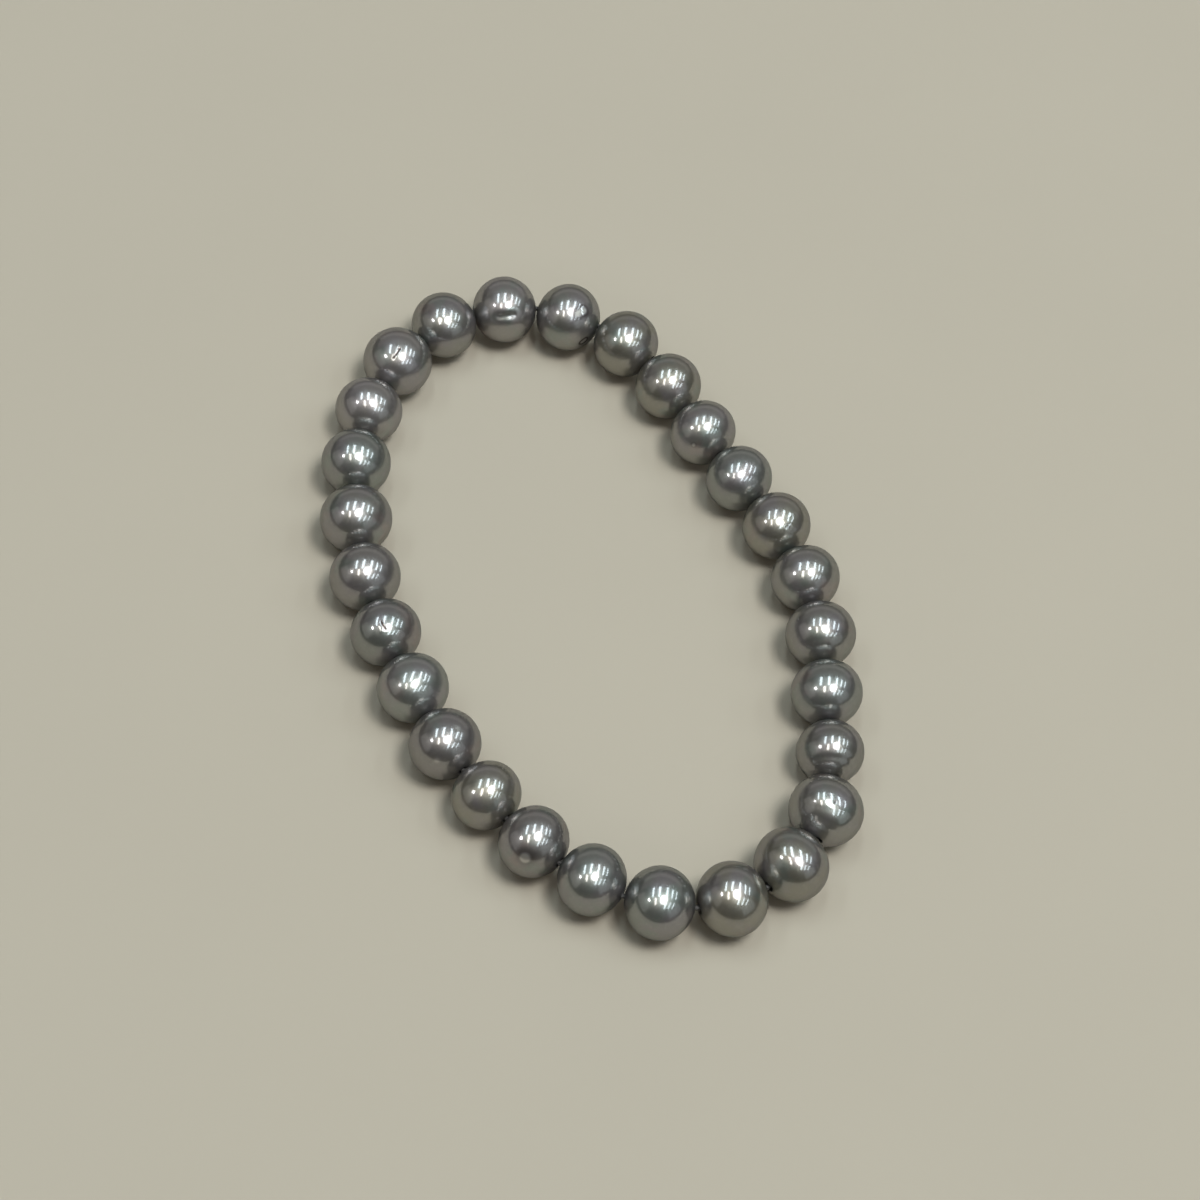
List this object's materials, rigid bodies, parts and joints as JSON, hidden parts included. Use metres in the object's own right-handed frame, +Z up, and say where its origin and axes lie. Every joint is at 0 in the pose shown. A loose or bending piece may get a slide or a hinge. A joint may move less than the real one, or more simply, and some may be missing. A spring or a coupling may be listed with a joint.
{
  "type": "pearl bracelet",
  "caption": "Closed string of near-round grey pearls on an elastic thread, lying flat as an irregular oval loop, worn round the wrist.",
  "frame": {"origin": "under the middle of the loop's outline, on the surface that the pearls rest on", "axes": "+Z up out of that surface, +Y along the longer way of the oval loop, +X across it"},
  "size_m": [0.0494, 0.0784, 0.0074],
  "materials": {
    "pearl_silver": "polished nacre, grey body with a silver overtone, mirror-like surface with a soft sheen below",
    "pearl_green": "polished nacre, grey body with a green overtone",
    "pearl_bronze": "polished nacre, grey body with a bronze overtone",
    "pearl_rose": "polished nacre, grey body with a rose to lilac overtone",
    "thread": "smoky grey elastic thread"
  },
  "bodies": {
    "root": {"pearl_01": "pearl_rose", "pearl_02": "pearl_silver", "pearl_03": "pearl_bronze", "pearl_04": "pearl_bronze", "pearl_05": "pearl_silver", "pearl_06": "pearl_green", "pearl_07": "pearl_bronze", "pearl_08": "pearl_silver", "pearl_09": "pearl_silver", "pearl_10": "pearl_green", "pearl_11": "pearl_silver", "pearl_12": "pearl_silver", "pearl_13": "pearl_bronze", "pearl_14": "pearl_bronze", "pearl_15": "pearl_green", "pearl_16": "pearl_green", "pearl_17": "pearl_rose", "pearl_18": "pearl_bronze", "pearl_19": "pearl_rose", "pearl_20": "pearl_green", "pearl_21": "pearl_green", "pearl_22": "pearl_rose", "pearl_23": "pearl_silver", "pearl_24": "pearl_green", "pearl_25": "pearl_rose", "pearl_26": "pearl_rose", "pearl_27": "pearl_silver", "thread": "thread"}
  },
  "joints": []
}
